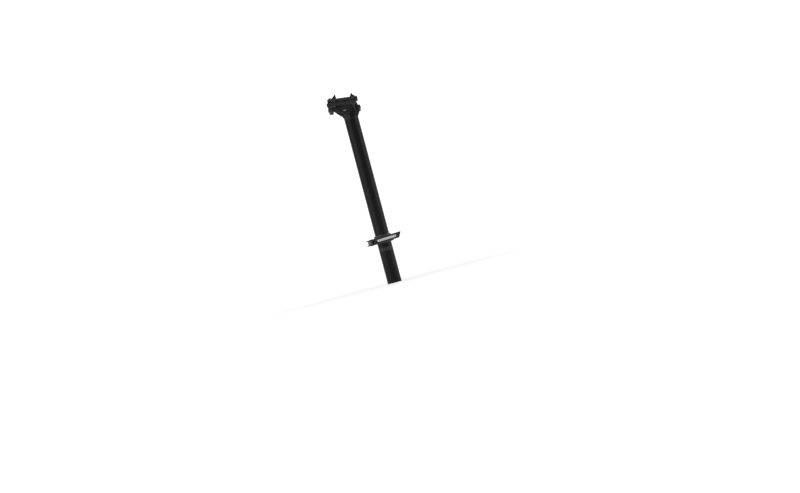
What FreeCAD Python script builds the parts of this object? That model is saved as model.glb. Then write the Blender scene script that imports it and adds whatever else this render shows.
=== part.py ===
import FreeCAD, Part
import math
import os
import Sketcher

# Bicycle seatpost with a two-bolt saddle clamp, and the quick-release collar that holds it.
# Frame: origin at the centre of the tube's lower end, +Z up the post, +X towards the front
# of the bicycle, +Y to its left. Millimetres and degrees.

Vector = FreeCAD.Vector

# Driving dimensions of the tube
tube_sizes = {
    "post_diameter": 27.2,
    "post_length": 350.0,          # lower end to the centre line of the saddle rails
    "head_height": 34.0,           # from the end of the tube up to the saddle rails
    "wall_thin": 2.0,
    "wall_thick": 2.7,             # where the frame clamps the post
    "thick_from": 60.0,
    "thick_to": 130.0,
    "wall_taper": 15.0,            # length over which the wall changes
    "tube_chamfer": 0.6,           # inside the lower end
    "depth_mark": 70.0,            # ring that stays hidden in the frame when the post is in far enough
    "depth_mark_width": 0.8,
    "depth_mark_depth": 0.25,
    "spigot_length": 32.0,
}

# Driving dimensions of the forged head
head_sizes = {
    "seat_width": 30.0,            # of the curved seat, across the bicycle
    "tilt_radius": 14.0,           # of the rocker under the cradle
    "rocking_gap": 0.05,
    "lip_drop": 10.4,              # from the rail line down to the lips of the seat
    "lip_reach": 11.6,
    "block_round": 3.5,
    "flare_radius": 22.0,          # from the round tube out into the block
    "flare_rise": 17.0,
    "front_wall": 12.8,            # from the post's axis, behind the front bolt's head
    "front_wall_rise": 7.0,
    "cheek_depth": 1.8,            # hollow beside the seat, behind the front ridge
    "arm_width": 15.0,             # at the rear boss
    "arm_root_width": 21.0,        # where the arm leaves the block
    "arm_taper": 13.0,             # length over which it narrows
    "arm_foot_rise": 3.5,          # above the end of the tube
    "arm_elbow_reach": 15.6,
    "arm_elbow_rise": 8.2,
    "arm_knee_reach": 21.7,
    "arm_knee_rise": 14.2,
    "arm_top_drop": 6.7,           # from the rail line down to the arm's upper edge
    "ridge_drop": 2.4,             # of the diagonal ridge, below the arm's upper edge
    "ridge_width": 2.8,
    "arm_rim": 2.0,
    "arm_web": 10.0,
    "arm_trough": 9.6,             # gap between the arm's upper walls, for the cradle's rib
    "arm_wall": 1.5,
    "boss_radius": 5.8,
    "boss_chamfer": 0.7,
    "rear_boss_height": 7.7,
    "front_boss_height": 7.5,
    "bolt_hole_radius": 3.3,
    "pocket_web": 12.0,            # left between the two front pockets
    "pocket_rim": 2.2,
    "badge_length": 7.5,           # oval pad on each side of the seat
    "badge_height": 4.6,
    "badge_stand": 0.8,
}

# Driving dimensions of the saddle clamp, in the frame of the rails
clamp_sizes = {
    "rail_diameter": 7.0,
    "rail_spacing": 44.0,
    "rail_angle": 7.0,             # nose down, from square to the post
    "jaw_wall": 2.8,
    "jaw_gap": 1.2,                # between the two jaws with a rail clamped
    "jaw_inner_wall": 2.3,
    "cradle_rear": 37.5,
    "cradle_front": 17.0,
    "cradle_jaw_depth": 8.6,
    "cradle_arch_depth": 6.4,
    "arch_rear": 19.5,
    "arch_front": 7.5,
    "cradle_plate_top": 1.8,
    "cradle_plate_depth": 6.0,
    "jaw_chamfer": 2.4,
    "rocker_width": 29.0,
    "rocker_chord": 10.5,
    "relief_depth": 1.5,           # under the plate, over the rear boss
    "relief_from": 24.0,
    "relief_width": 16.0,
    "rib_depth": 3.0,
    "rib_width": 9.0,
    "upper_rear": 35.5,
    "upper_front": 20.5,
    "upper_jaw_height": 6.2,
    "bridge_height": 7.4,
    "bridge_foot": 0.6,            # below the rail line, between the rails
    "slot_width": 5.6,
    "slot_reach": 3.6,
    "front_slot_reach": 4.6,
    "horn_width": 25.0,
    "horn_base": 7.0,
    "horn_tip": 0.9,
    "front_horn_place": 9.6,
    "front_horn_height": 14.4,
    "rear_horn_place": 22.0,
    "rear_horn_height": 15.6,
    "top_pocket_depth": 2.2,
}

# Driving dimensions of the clamp's bolts, nuts and washers
bolt_sizes = {
    "nut_height": 6.0,             # of the cross nuts above the rail line
    "rear_nut_reach": 30.8,
    "front_nut_reach": 13.5,
    "rear_bolt_angle": 8.5,         # forward at the top, from the post's axis
    "front_bolt_angle": 8.0,        # rearward at the top
    "rear_bolt_drop": 22.25,       # from the cross nut down to the washer's seat
    "front_bolt_drop": 23.5,
    "bolt_radius": 2.5,
    "thread_radius": 2.15,
    "bolt_length": 27.5,
    "shank_length": 13.0,
    "bolt_head_radius": 4.1,
    "bolt_head_height": 3.5,
    "hex_across": 4.0,
    "hex_depth": 2.3,
    "cross_nut_radius": 4.0,
    "cross_nut_length": 18.0,
    "cross_nut_bore": 2.7,
    "seat_washer_radius": 4.4,
    "seat_washer_length": 12.0,
    "flat_washer_radius": 4.3,
    "flat_washer_thickness": 1.0,
    "running_gap": 0.05,
    "turning_gap": 0.02,           # between faces that turn on each other
    "small_chamfer": 0.4,
}

# Driving dimensions of the quick-release collar
collar_sizes = {
    "collar_bottom": 77.0,
    "collar_height": 15.6,
    "collar_shoulder": 12.2,       # height of the wide part
    "collar_neck_radius": 16.4,
    "collar_bore_radius": 15.9,    # for a seat tube 31.8 mm across
    "collar_wall": 3.0,
    "collar_lip": 4.6,             # depth of the inward lip over the seat tube's rim
    "lip_clearance": 0.3,
    "collar_slit": 2.5,
    "ear_face": 8.0,
    "rod_room": 0.377,             # between the bush on the ear and the band
    "rod_radius": 3.0,
    "rod_far_end": 20.5,
    "lever_height": 11.0,
    "lever_foot": 77.3,
    "cam_radius": 8.0,
    "cam_throw": 1.2,
    "cam_clearance": 0.12,
    "bush_thickness": 2.5,
    "bush_radius": 5.8,
    "barrel_radius": 4.6,
    "barrel_skin": 1.6,            # left beyond the end of the rod
    "fork_gap": 6.5,
    "lever_face_reach": 6.0,       # from the cross barrel's axis to the lever's face
    "lever_thickness": 4.4,
    "lever_tip": 35.2,
    "lever_tip_slant": 5.4,
    "lever_rise": 2.0,
    "lever_root": 16.0,
    "lever_root_radius": 8.6,
    "fork_end": 5.3,               # from the cross barrel's axis to the foot of the fork
    "panel_from": 13.2,
    "panel_to": 27.0,
    "panel_height": 6.4,
    "panel_thickness": 0.8,
    "panel_stand": 0.15,
    "nut_radius": 6.6,
    "nut_thickness": 7.5,
    "nut_flutes": 8,
    "flute_radius": 1.5,
    "nut_washer_radius": 5.8,
    "nut_washer_thickness": 1.2,
    "insert_radius": 4.2,
    "insert_thickness": 2.2,
}

driving_sizes = {**tube_sizes, **head_sizes, **clamp_sizes, **bolt_sizes, **collar_sizes}


class Size:
    # A number that keeps the formula it came from, so that a feature stays bound to the sheet.

    def __init__(self, number, formula):
        self.number = float(number)
        self.formula = formula

    def __add__(self, other):
        other = as_size(other)
        return Size(self.number + other.number, "(%s + %s)" % (self.formula, other.formula))

    def __sub__(self, other):
        other = as_size(other)
        return Size(self.number - other.number, "(%s - %s)" % (self.formula, other.formula))

    def __mul__(self, other):
        other = as_size(other)
        return Size(self.number * other.number, "(%s * %s)" % (self.formula, other.formula))

    def __truediv__(self, other):
        other = as_size(other)
        return Size(self.number / other.number, "(%s / %s)" % (self.formula, other.formula))

    def __neg__(self):
        return Size(-self.number, "(0 - %s)" % self.formula)

    __radd__ = __add__
    __rmul__ = __mul__

    def __rsub__(self, other):
        return as_size(other) - self


def as_size(value):
    if isinstance(value, Size):
        return value
    return Size(value, "(%r)" % float(value))


def sine(angle):
    angle = as_size(angle)
    return Size(math.sin(math.radians(angle.number)), "sin(%s)" % angle.formula)


def cosine(angle):
    angle = as_size(angle)
    return Size(math.cos(math.radians(angle.number)), "cos(%s)" % angle.formula)


def root(square):
    return Size(math.sqrt(square.number), "sqrt(%s)" % square.formula)


def make_sheet(document):
    sheet = document.addObject("Spreadsheet::Sheet", "Sizes")
    for row, (alias, number) in enumerate(driving_sizes.items(), start=1):
        sheet.set("A%d" % row, alias)
        sheet.set("B%d" % row, str(number))
        sheet.setAlias("B%d" % row, alias)
    document.recompute()
    return {alias: Size(number, "Sizes.%s" % alias) for alias, number in driving_sizes.items()}


# Sketches and features

def plane_of(body, role):
    return [item for item in body.Origin.OriginFeatures if item.Role == role][0]


def new_sketch(body, name, role, base=(0, 0, 0), turn_axis=None, turn=None):
    # Base and turn are given in the plane's own directions.
    sketch = body.newObject("Sketcher::SketchObject", name)
    sketch.AttachmentSupport = [(plane_of(body, role), "")]
    sketch.MapMode = "FlatFace"
    base = [as_size(value) for value in base]
    rotation = FreeCAD.Rotation()
    if turn_axis:
        rotation = FreeCAD.Rotation(Vector(*turn_axis), as_size(turn).number)
    place = Vector(*[value.number for value in base])
    sketch.AttachmentOffset = FreeCAD.Placement(place, rotation)
    for letter, value in zip("xyz", base):
        if value.number:
            sketch.setExpression("AttachmentOffset.Base.%s" % letter, value.formula)
    if turn_axis:
        sketch.setExpression("AttachmentOffset.Rotation.Angle", as_size(turn).formula)
    return sketch


def hold_point(sketch, geometry, position, x, y):
    for kind, value, axis in (("DistanceX", x, -2), ("DistanceY", y, -1)):
        if value is None:
            continue
        value = as_size(value)
        if value.number == 0:
            sketch.addConstraint(Sketcher.Constraint("PointOnObject", geometry, position, axis))
            continue
        index = sketch.addConstraint(
            Sketcher.Constraint(kind, -1, 1, geometry, position, value.number))
        sketch.setExpression("Constraints[%d]" % index, value.formula)


def arc_between(start, end, centre_x, centre_y, turn):
    # The centre lies on the bisector of the chord; one of its coordinates is given.
    middle = (start + end) * 0.5
    across = Vector(-(end.y - start.y), end.x - start.x, 0)
    if centre_x is not None:
        along = (as_size(centre_x).number - middle.x) / across.x
    else:
        along = (as_size(centre_y).number - middle.y) / across.y
    centre = middle + across * along
    first, second = (start, end) if turn > 0 else (end, start)
    angles = [math.atan2(point.y - centre.y, point.x - centre.x) for point in (first, second)]
    circle = Part.Circle(centre, Vector(0, 0, 1), (start - centre).Length)
    return Part.ArcOfCircle(circle, *angles)


def draw_outline(sketch, corners, arcs=None):
    # A closed loop through the corners. arcs maps an edge's number to (centre x, centre y,
    # turn): one coordinate is None, and turn is 1 for an arc that runs anticlockwise.
    arcs = arcs or {}
    offset = sketch.GeometryCount
    points = [Vector(as_size(x).number, as_size(y).number, 0) for x, y in corners]
    starts = []
    ends = []
    for index, start in enumerate(points):
        end = points[(index + 1) % len(points)]
        geometry = Part.LineSegment(start, end)
        turn = 1
        if index in arcs:
            turn = arcs[index][2]
            geometry = arc_between(start, end, *arcs[index])
        sketch.addGeometry(geometry, False)
        starts.append(1 if turn > 0 else 2)
        ends.append(2 if turn > 0 else 1)
    for index in range(len(points)):
        follower = (index + 1) % len(points)
        sketch.addConstraint(Sketcher.Constraint(
            "Coincident", offset + index, ends[index], offset + follower, starts[follower]))
    for index, (x, y) in enumerate(corners):
        hold_point(sketch, offset + index, starts[index], x, y)
    for index, (centre_x, centre_y, turn) in arcs.items():
        hold_point(sketch, offset + index, 3, centre_x, centre_y)


def draw_circle(sketch, x, y, radius):
    index = sketch.GeometryCount
    centre = Vector(as_size(x).number, as_size(y).number, 0)
    sketch.addGeometry(Part.Circle(centre, Vector(0, 0, 1), as_size(radius).number), False)
    hold_point(sketch, index, 3, x, y)
    constraint = sketch.addConstraint(
        Sketcher.Constraint("Radius", index, as_size(radius).number))
    sketch.setExpression("Constraints[%d]" % constraint, as_size(radius).formula)


def draw_slot(sketch, x, y, reach, half_width):
    # Rounded at both ends, long way along the sketch's first direction.
    corners = [(x - reach, y - half_width), (x + reach, y - half_width),
               (x + reach, y + half_width), (x - reach, y + half_width)]
    draw_outline(sketch, corners, {1: (x + reach, None, 1), 3: (x - reach, None, 1)})


def add_pad(body, name, sketch, length, symmetric=False, reverse=False, cut=False):
    feature = body.newObject("PartDesign::Pocket" if cut else "PartDesign::Pad", name)
    feature.Profile = sketch
    feature.setExpression("Length", as_size(length).formula)
    feature.SideType = "Symmetric" if symmetric else "One side"
    feature.Reversed = reverse
    return feature


def add_cut(body, name, sketch, length, symmetric=False, reverse=False):
    before = body.Shape.Volume
    feature = add_pad(body, name, sketch, length, symmetric, reverse, cut=True)
    body.Document.recompute()
    if not body.Shape.Volume < before - 1e-3:
        raise ValueError("%s cuts nothing" % name)
    return feature


def add_turned(body, name, sketch, cut=False):
    feature = body.newObject("PartDesign::Groove" if cut else "PartDesign::Revolution", name)
    feature.Profile = sketch
    feature.ReferenceAxis = (sketch, ["V_Axis"])
    feature.Angle = 360
    return feature


def add_edge_work(body, name, kind, base, size, wanted):
    # Fillet or chamfer on the base feature's edges that the test picks out.
    body.Document.recompute()
    edges = ["Edge%d" % number for number, edge in enumerate(base.Shape.Edges, start=1)
             if wanted(edge)]
    if not edges:
        raise ValueError("%s finds no edge" % name)
    feature = body.newObject("PartDesign::%s" % kind, name)
    feature.Base = (base, edges)
    feature.setExpression("Radius" if kind == "Fillet" else "Size", as_size(size).formula)
    return feature


def is_straight(edge, direction):
    if edge.Curve.TypeId != "Part::GeomLine":
        return False
    along = edge.tangentAt(edge.FirstParameter)
    return abs(along.dot(Vector(*direction))) > 0.999


def new_body(document, label):
    body = document.addObject("PartDesign::Body", "body_" + label)
    body.Label = label
    return body


def place_body(body, base, lean=None):
    # Base is a point of the post's frame; lean turns the body about the Y direction.
    base = [as_size(value) for value in base]
    rotation = FreeCAD.Rotation(Vector(0, 1, 0), 0.0 if lean is None else lean.number)
    body.Placement = FreeCAD.Placement(Vector(*[value.number for value in base]), rotation)
    for letter, value in zip("xyz", base):
        if value.number:
            body.setExpression("Placement.Base.%s" % letter, value.formula)
    if lean is not None:
        body.setExpression("Placement.Rotation.Angle", lean.formula)


class Layout:
    # Places that more than one sub-part shares, worked out once from the driving dimensions.

    def __init__(self, s):
        self.post_radius = s["post_diameter"] / 2
        self.tube_end = s["post_length"] - s["head_height"]
        self.bore_radius = self.post_radius - s["wall_thin"]
        self.rail_radius = s["rail_diameter"] / 2
        self.rail_side = s["rail_spacing"] / 2
        self.jaw_outside = self.rail_side + self.rail_radius + s["jaw_wall"]
        self.jaw_inside = self.rail_side - self.rail_radius - s["jaw_inner_wall"]
        self.rear_nut = self.rail_point(s, -s["rear_nut_reach"], s["nut_height"])
        self.front_nut = self.rail_point(s, s["front_nut_reach"], s["nut_height"])
        self.rear_lean = s["rear_bolt_angle"]
        self.front_lean = -s["front_bolt_angle"]
        self.rear_seat = self.down_bolt(self.rear_nut, self.rear_lean, s["rear_bolt_drop"])
        self.front_seat = self.down_bolt(self.front_nut, self.front_lean, s["front_bolt_drop"])
        self.groove_radius = s["seat_washer_radius"] + s["running_gap"]
        outside = s["collar_bore_radius"] + s["collar_wall"]
        chord = root(outside * outside - s["ear_face"] * s["ear_face"])
        self.rod_reach = chord + s["bush_radius"] + s["rod_room"]
        self.bush_face = s["ear_face"] + s["bush_thickness"]
        self.cam_axis = self.bush_face + s["cam_radius"] + s["cam_throw"] + s["cam_clearance"]
        self.rod_height = s["lever_foot"] + s["lever_height"] / 2
        self.lever_face = self.cam_axis + s["lever_face_reach"]
        self.collar_top = s["collar_bottom"] + s["collar_height"]

    def rail_point(self, s, along, above):
        # From the frame of the rails to the post's frame, as (x, z).
        pitch = s["rail_angle"]
        x = along * cosine(pitch) + above * sine(pitch)
        z = s["post_length"] - along * sine(pitch) + above * cosine(pitch)
        return x, z

    def down_bolt(self, top, lean, distance):
        return top[0] - distance * sine(lean), top[1] - distance * cosine(lean)


# Post

def make_post_tube(document, s, at):
    body = new_body(document, "post_tube")
    sketch = new_sketch(body, "tube_profile", "XZ_Plane")
    thick_radius = at.post_radius - s["wall_thick"]
    mark = s["depth_mark"]
    mark_radius = at.post_radius - s["depth_mark_depth"]
    draw_outline(sketch, [
        (at.bore_radius, s["tube_chamfer"]),
        (at.bore_radius + s["tube_chamfer"], 0),
        (at.post_radius, 0),
        (at.post_radius, mark),
        (mark_radius, mark),
        (mark_radius, mark + s["depth_mark_width"]),
        (at.post_radius, mark + s["depth_mark_width"]),
        (at.post_radius, at.tube_end),
        (at.bore_radius, at.tube_end),
        (at.bore_radius, s["thick_to"] + s["wall_taper"]),
        (thick_radius, s["thick_to"]),
        (thick_radius, s["thick_from"]),
        (at.bore_radius, s["thick_from"] - s["wall_taper"]),
    ])
    add_turned(body, "tube", sketch)
    return body


def make_head_block(body, s, at):
    # Block under the curved seat, trimmed to the round tube by the flare.
    top = s["post_length"] - s["lip_drop"]
    foot = at.tube_end
    sketch = new_sketch(body, "block_profile", "XZ_Plane")
    draw_outline(sketch, [
        (-at.post_radius, foot),
        (at.post_radius, foot),
        (s["front_wall"], foot + s["front_wall_rise"]),
        (s["front_wall"], at.front_seat[1]),
        (s["lip_reach"], top),
        (-s["lip_reach"], top),
        (-at.post_radius, at.front_seat[1]),
    ])
    block = add_pad(body, "block", sketch, s["seat_width"], symmetric=True)
    lip = driving_sizes["lip_reach"]
    add_edge_work(body, "block_corners", "Fillet", block, s["block_round"],
                  lambda edge: abs(edge.tangentAt(edge.FirstParameter).z) > 0.5
                  and abs(edge.CenterOfMass.x) > lip)
    flare = new_sketch(body, "flare_profile", "XZ_Plane")
    reach = at.post_radius + s["flare_radius"]
    rise = s["flare_rise"]
    edge_of_flare = reach - root(s["flare_radius"] * s["flare_radius"] - rise * rise)
    outside = s["seat_width"] * 2
    draw_outline(flare, [
        (at.post_radius, foot),
        (edge_of_flare, foot + rise),
        (outside, foot + rise),
        (outside, foot),
    ], {0: (None, foot, -1)})
    add_turned(body, "flare", flare, cut=True)


def make_rear_arm(body, s, at):
    # Arm from the neck up to the rear boss, wide at its root and narrow at the boss.
    seat_x, seat_z = at.rear_seat
    foot = at.tube_end
    top = s["post_length"] - s["arm_top_drop"]
    boss_inner = seat_x + s["boss_radius"]
    wall_end = -at.post_radius + 0.9
    sketch = new_sketch(body, "arm_profile", "XZ_Plane")
    draw_outline(sketch, [
        (-at.post_radius + 0.6, foot + s["arm_foot_rise"]),
        (-at.post_radius * 0.5, foot + s["arm_elbow_rise"]),
        (-s["lip_reach"] + 1.5, top - s["lip_drop"] + s["arm_top_drop"] - 1.0),
        (wall_end, top - 0.8),
        (wall_end - 0.8, top),
        (boss_inner + 1.5, top),
        (boss_inner - 1.2, seat_z + s["rear_boss_height"] - 0.8),
        (seat_x, seat_z + s["rear_boss_height"] - 0.8),
        (seat_x + s["boss_radius"] * 0.6, seat_z + s["boss_radius"] * 0.6),
        (boss_inner - 1.0, seat_z + 0.4),
        (boss_inner + 0.6, seat_z - 1.6),
        (-s["arm_knee_reach"], foot + s["arm_knee_rise"]),
        (-s["arm_elbow_reach"], foot + s["arm_elbow_rise"]),
    ])
    add_pad(body, "arm", sketch, s["arm_root_width"], symmetric=True)
    body.Document.recompute()
    root_x = -at.post_radius + 0.4
    half_root = s["arm_root_width"] / 2
    half = s["arm_width"] / 2
    far = seat_x - s["boss_radius"] * 2
    for side, name in ((1, "left"), (-1, "right")):
        plan = new_sketch(body, name + "_arm_plan", "XY_Plane", (0, 0, foot))
        near_y, boss_y, clear_y = half_root * side, half * side, s["seat_width"] * side
        tangent_x = root_x - s["arm_taper"]
        draw_outline(plan, [(root_x, near_y), (tangent_x, boss_y), (far, boss_y),
                            (far, clear_y), (root_x, clear_y)],
                     {0: (tangent_x, None, -side)})
        add_cut(body, name + "_arm_flank", plan, s["post_length"] - foot, reverse=True)
    trough = new_sketch(body, "arm_trough_profile", "YZ_Plane", (0, 0, far))
    gap = s["arm_trough"] / 2
    floor = top - s["ridge_drop"] - 2.0
    draw_outline(trough, [(-gap, floor), (gap, floor), (gap, s["post_length"]),
                          (-gap, s["post_length"])])
    add_cut(body, "arm_trough", trough, wall_end - far + 1.2, reverse=True)
    return boss_inner, top


def cut_arm_sides(body, s, at, boss_inner, top):
    # A diagonal ridge stays between the channel below it and the shallow panel above it.
    foot = at.tube_end
    rim = s["arm_rim"]
    ridge_top = top - s["ridge_drop"]
    low_x = -s["lip_reach"] - 1.0
    low_z = foot + s["arm_knee_rise"]
    slope = (ridge_top - low_z) / (low_x - boss_inner)
    half = s["ridge_width"] / 2
    channel = [
        (boss_inner + 2.8, at.rear_seat[1] - 2.2),
        (-s["arm_knee_reach"] + 0.6, foot + s["arm_knee_rise"] + rim * 1.3),
        (-s["arm_elbow_reach"] + 0.9, foot + s["arm_elbow_rise"] + rim * 1.3),
        (low_x + 1.0, low_z - half * 2.2),
        (low_x - 2.0, low_z - half * 1.5 + slope * 2.0),
    ]
    cut_side_pair(body, "arm_channel", channel, s["arm_web"], s["seat_width"])
    panel = [
        (boss_inner + 5.0, top - rim * 0.6),
        (low_x - 1.5, low_z + half + slope * 1.5),
        (low_x - 1.5, top - rim * 0.6),
    ]
    wall = s["arm_trough"] + s["arm_wall"] * 2
    cut_side_pair(body, "arm_panel", panel, wall, s["seat_width"])


def make_bosses(body, s, at):
    for name, place, lean, height in (
            ("rear", at.rear_seat, at.rear_lean, s["rear_boss_height"]),
            ("front", at.front_seat, at.front_lean, s["front_boss_height"])):
        sketch = new_sketch(body, name + "_boss_circle", "XY_Plane",
                            (place[0], 0, place[1]), (0, 1, 0), lean)
        draw_circle(sketch, 0, 0, s["boss_radius"])
        side = height - s["boss_chamfer"]
        add_pad(body, name + "_boss", sketch, side)
        crown_place = (place[0] + side * sine(lean), 0, place[1] + side * cosine(lean))
        crown = new_sketch(body, name + "_crown_circle", "XY_Plane", crown_place,
                           (0, 1, 0), lean)
        draw_circle(crown, 0, 0, s["boss_radius"])
        add_pad(body, name + "_crown", crown, s["boss_chamfer"]).TaperAngle = -45
    front_x, front_z = at.front_seat
    web = new_sketch(body, "front_web_profile", "XZ_Plane")
    web_top = front_z + s["front_boss_height"] - s["boss_chamfer"] * 2
    draw_outline(web, [
        (s["front_wall"] - 3.0, front_z - 3.0),
        (s["front_wall"], front_z - 3.0),
        (s["front_wall"], front_z),
        (front_x + s["boss_radius"] * 0.6, front_z + s["seat_washer_radius"]),
        (front_x, web_top),
        (s["lip_reach"] - 3.0, web_top),
    ])
    add_pad(body, "front_web", web, s["arm_width"], symmetric=True)


def cut_head(body, s, at):
    reach = s["seat_width"] * 2
    seat = new_sketch(body, "seat_circle", "XZ_Plane")
    draw_circle(seat, 0, s["post_length"], s["tilt_radius"] + s["rocking_gap"])
    add_cut(body, "curved_seat", seat, reach, symmetric=True)
    for name, place, lean in (("rear", at.rear_seat, at.rear_lean),
                              ("front", at.front_seat, at.front_lean)):
        groove = new_sketch(body, name + "_groove_circle", "XZ_Plane")
        draw_circle(groove, place[0], place[1], at.groove_radius)
        add_cut(body, name + "_washer_groove", groove, reach, symmetric=True)
        hole = new_sketch(body, name + "_hole_circle", "XY_Plane",
                          (place[0], 0, place[1]), (0, 1, 0), lean)
        draw_circle(hole, 0, 0, s["bolt_hole_radius"])
        add_cut(body, name + "_bolt_hole", hole, s["rear_boss_height"] * 3, reverse=True)


def cut_side_pair(body, name, corners, web, depth):
    # The same pocket in both side faces, each from the web outwards.
    for side, place, reverse in (("right", web / 2, True), ("left", -web / 2, False)):
        sketch = new_sketch(body, "%s_%s_profile" % (side, name), "XZ_Plane", (0, 0, place))
        draw_outline(sketch, corners)
        add_cut(body, "%s_%s" % (side, name), sketch, depth, reverse=reverse)


def cut_block_sides(body, s, at):
    # Deep pocket behind the front wall, and a shallow cheek behind the ridge beside it.
    foot = at.tube_end + s["pocket_rim"]
    rim = s["front_wall"] - s["pocket_rim"]
    top = s["post_length"] - s["tilt_radius"] - s["pocket_rim"]
    depth = s["seat_width"]
    pocket = [
        (-0.8, foot + 0.4),
        (rim * 0.55, foot - 0.6),
        (rim * 0.9, foot + 3.0),
        (rim, foot + s["front_wall_rise"] + 4.0),
        (rim, top),
        (rim * 0.42, top - 0.6),
        (-0.4, top - 5.6),
    ]
    cut_side_pair(body, "front_pocket", pocket, s["pocket_web"], depth)
    ridge = s["ridge_width"] + 0.8
    cheek = [
        (-at.post_radius - 1.0, foot + 6.0),
        (-ridge - 1.2, foot + 1.0),
        (-ridge - 0.4, top - 5.0),
        (rim * 0.42 - ridge, top + 0.8),
        (-at.post_radius - 1.0, top + 1.6),
    ]
    cut_side_pair(body, "cheek", cheek, s["seat_width"] - s["cheek_depth"] * 2, depth)


def make_post_head(document, s, at):
    body = new_body(document, "post_head")
    make_head_block(body, s, at)
    document.recompute()
    cut_block_sides(body, s, at)
    boss_inner, top = make_rear_arm(body, s, at)
    cut_arm_sides(body, s, at, boss_inner, top)
    make_bosses(body, s, at)
    document.recompute()
    cut_head(body, s, at)
    badge_z = s["post_length"] - s["tilt_radius"] - s["badge_height"] / 2 + 0.9
    badge = new_sketch(body, "badge_outline", "XZ_Plane")
    flat = (s["badge_length"] - s["badge_height"]) / 2
    draw_slot(badge, -s["badge_length"], badge_z, flat, s["badge_height"] / 2)
    stand = s["badge_stand"] - s["cheek_depth"]
    add_pad(body, "badge", badge, s["seat_width"] + stand * 2, symmetric=True)
    spigot = new_sketch(body, "spigot_circle", "XY_Plane", (0, 0, at.tube_end))
    draw_circle(spigot, 0, 0, at.bore_radius)
    add_pad(body, "spigot", spigot, s["spigot_length"], reverse=True)
    return body


# Saddle clamp

def jaw_grooves(body, s, at, start, length):
    sketch = new_sketch(body, "rail_circles", "YZ_Plane", (0, 0, start))
    for side in (at.rail_side, -at.rail_side):
        draw_circle(sketch, side, 0, at.rail_radius)
    add_cut(body, "rail_grooves", sketch, length, reverse=True)


def make_lower_cradle(document, s, at):
    body = new_body(document, "lower_cradle")
    length = s["cradle_rear"] + s["cradle_front"]
    parting = -s["jaw_gap"] / 2
    sketch = new_sketch(body, "cradle_section", "YZ_Plane", (0, 0, -s["cradle_rear"]))
    half = [
        (at.jaw_inside, -s["cradle_plate_depth"]),
        (at.jaw_inside + 0.4, -s["cradle_jaw_depth"]),
        (at.jaw_outside - s["jaw_chamfer"], -s["cradle_jaw_depth"]),
        (at.jaw_outside, -s["cradle_jaw_depth"] + s["jaw_chamfer"]),
        (at.jaw_outside, parting),
        (at.jaw_inside, parting),
        (at.jaw_inside, -s["cradle_plate_top"]),
    ]
    mirrored = [(-y, z) for y, z in reversed(half)]
    draw_outline(sketch, half + mirrored)
    add_pad(body, "section", sketch, length)
    document.recompute()
    shape_cradle_jaws(body, s, at)
    rocker = new_sketch(body, "rocker_profile", "XZ_Plane")
    chord = s["rocker_chord"]
    depth = root(s["tilt_radius"] * s["tilt_radius"] - chord * chord)
    plate = -s["cradle_plate_depth"] + 1.0
    draw_outline(rocker, [(-chord, -depth), (chord, -depth), (chord + 1.5, plate),
                          (-chord - 1.5, plate)], {0: (None, 0, 1)})
    add_pad(body, "rocker", rocker, s["rocker_width"], symmetric=True)
    rib = new_sketch(body, "rib_profile", "XZ_Plane")
    rib_end = -s["relief_from"] + 2.0
    rib_foot = -s["cradle_plate_depth"] - s["rib_depth"]
    draw_outline(rib, [(rib_end, plate), (rib_end, -s["cradle_plate_depth"]),
                       (-chord - 3.0, rib_foot), (-chord + 1.0, rib_foot),
                       (-chord + 1.0, plate)])
    add_pad(body, "rib", rib, s["rib_width"], symmetric=True)
    document.recompute()
    jaw_grooves(body, s, at, -s["cradle_rear"], length)
    cut_cradle(body, s, at)
    document.recompute()
    place_body(body, (0, 0, s["post_length"]), s["rail_angle"])
    return body


def shape_cradle_jaws(body, s, at):
    # Deeper at both ends than over the post, with the lower corners cut back.
    deep = -s["cradle_jaw_depth"]
    arch = -s["cradle_arch_depth"]
    slope = (s["cradle_jaw_depth"] - s["cradle_arch_depth"]) * 1.6
    side = at.jaw_outside * 4
    under = new_sketch(body, "arch_profile", "XZ_Plane")
    draw_outline(under, [(-s["arch_rear"] - slope, deep - 1), (s["arch_front"] + slope, deep - 1),
                         (s["arch_front"], arch), (-s["arch_rear"], arch)])
    add_cut(body, "jaw_arch", under, side, symmetric=True)
    heel = new_sketch(body, "heel_profile", "XZ_Plane")
    draw_outline(heel, [(-s["cradle_rear"] - 1, deep - 1), (-s["cradle_rear"] + 2.4, deep - 1),
                        (-s["cradle_rear"] - 1, arch + 1.2)])
    add_cut(body, "jaw_heel", heel, side, symmetric=True)
    toe = new_sketch(body, "toe_profile", "XZ_Plane")
    draw_outline(toe, [(s["cradle_front"] + 1, deep - 1), (s["cradle_front"] + 1, arch + 2.0),
                       (s["cradle_front"] - 3.2, deep - 1)])
    add_cut(body, "jaw_toe", toe, side, symmetric=True)


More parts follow.
